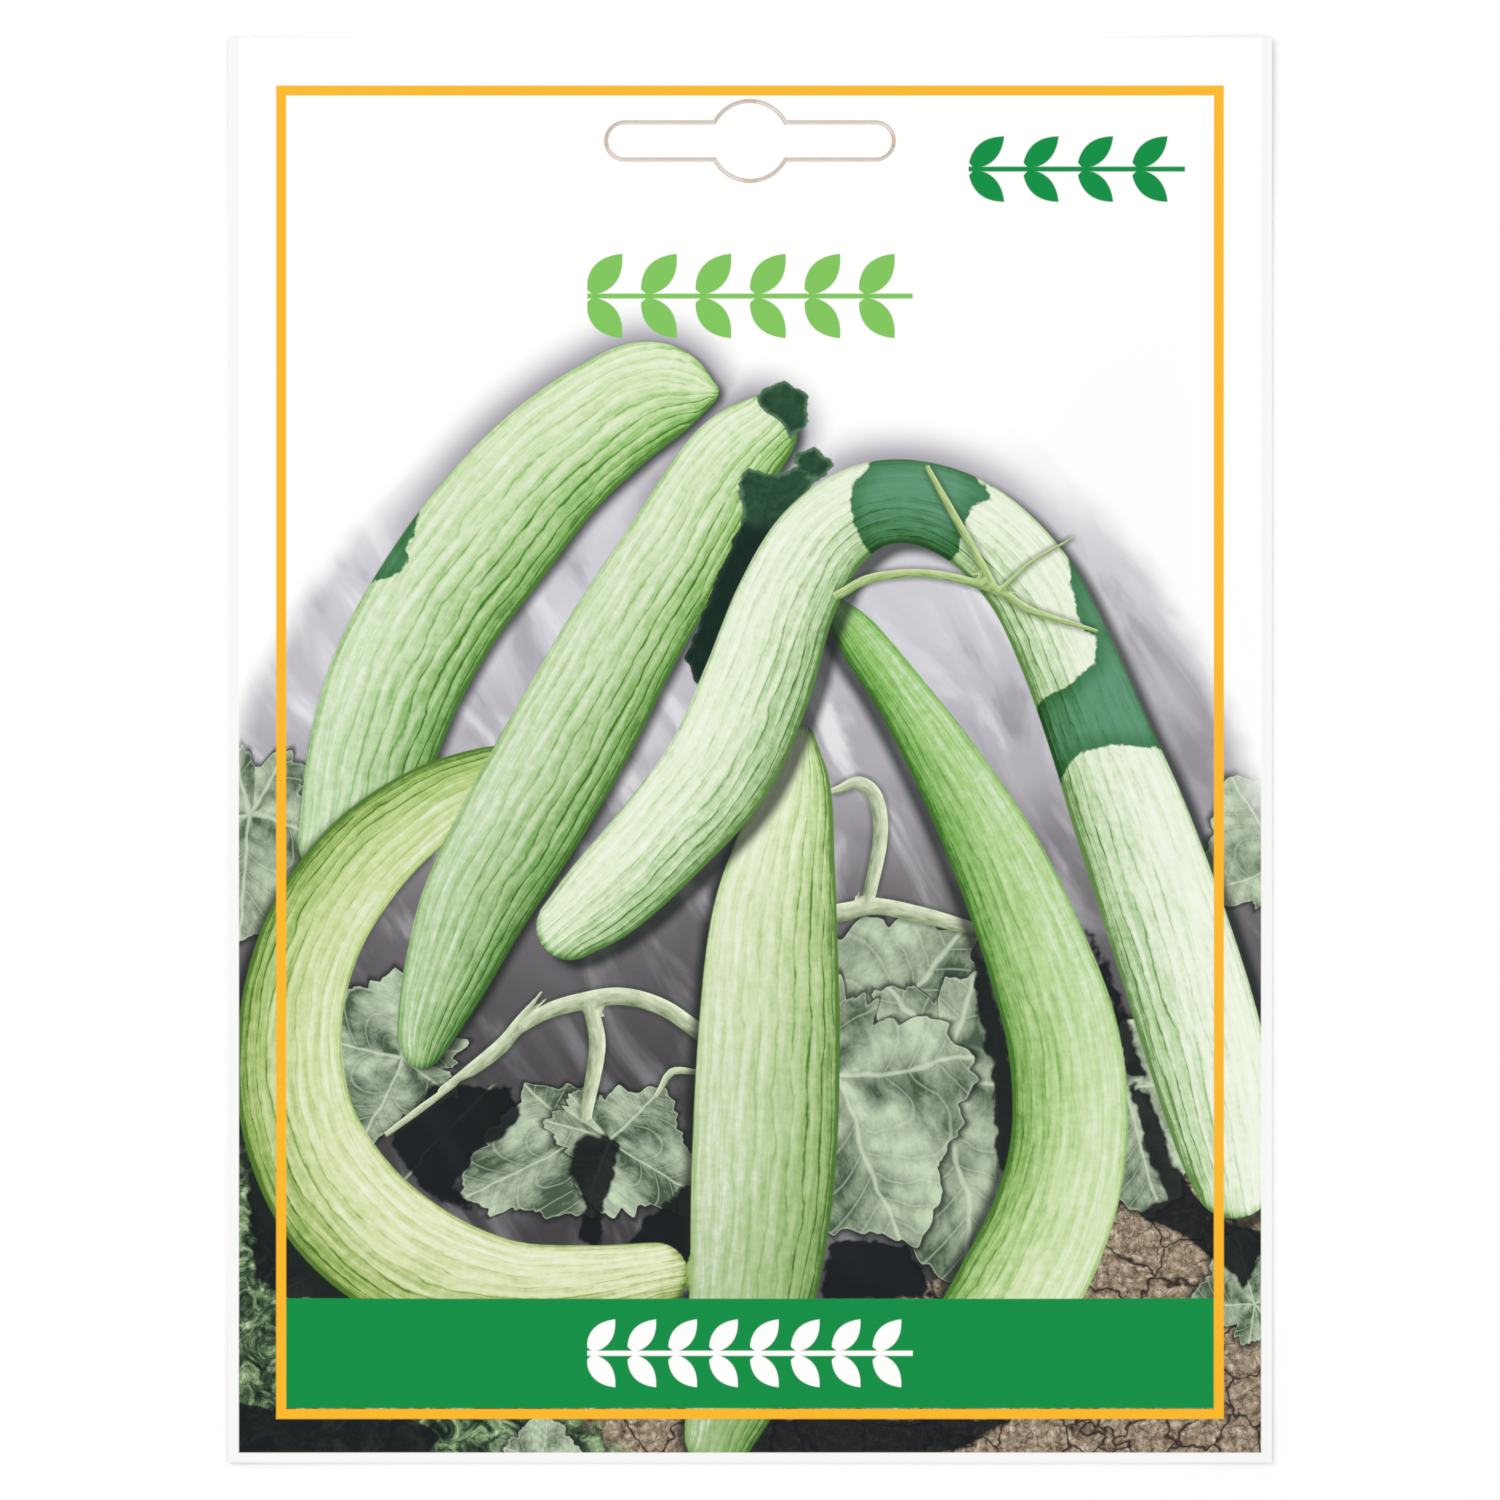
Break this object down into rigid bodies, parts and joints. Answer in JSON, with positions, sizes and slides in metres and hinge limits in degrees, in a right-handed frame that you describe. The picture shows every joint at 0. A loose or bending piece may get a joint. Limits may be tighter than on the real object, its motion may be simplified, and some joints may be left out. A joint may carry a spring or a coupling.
{
  "type": "seed packet",
  "caption": "A flat heat-sealed seed packet of two printed paper webs with a pre-cut hanging slot in its header and loose seeds in its low pouch.",
  "frame": {"origin": "middle of the packet's back face, on the surface that it lies on", "axes": "+Y up the packet to the edge with the hanging slot, +Z out of the printed front, +X to the right of someone who reads the front"},
  "size_m": [0.115, 0.157, 0.0022],
  "materials": {
    "front_paper": "satin",
    "back_paper": "satin",
    "seed_coat": "matte"
  },
  "bodies": {
    "root": {"front_panel": "front_paper", "back_panel": "back_paper", "seed_01": "seed_coat", "seed_02": "seed_coat", "seed_03": "seed_coat", "seed_04": "seed_coat", "seed_05": "seed_coat", "seed_06": "seed_coat", "seed_07": "seed_coat", "seed_08": "seed_coat", "seed_09": "seed_coat", "seed_10": "seed_coat", "seed_11": "seed_coat", "seed_12": "seed_coat", "seed_13": "seed_coat", "seed_14": "seed_coat", "seed_15": "seed_coat", "seed_16": "seed_coat", "seed_17": "seed_coat", "seed_18": "seed_coat", "seed_19": "seed_coat", "seed_20": "seed_coat", "seed_21": "seed_coat", "seed_22": "seed_coat", "seed_23": "seed_coat", "seed_24": "seed_coat", "seed_25": "seed_coat", "seed_26": "seed_coat", "seed_27": "seed_coat", "seed_28": "seed_coat", "seed_29": "seed_coat", "seed_30": "seed_coat", "seed_31": "seed_coat", "seed_32": "seed_coat", "seed_33": "seed_coat", "seed_34": "seed_coat", "seed_35": "seed_coat", "seed_36": "seed_coat", "seed_37": "seed_coat", "seed_38": "seed_coat", "seed_39": "seed_coat", "seed_40": "seed_coat"}
  },
  "joints": []
}
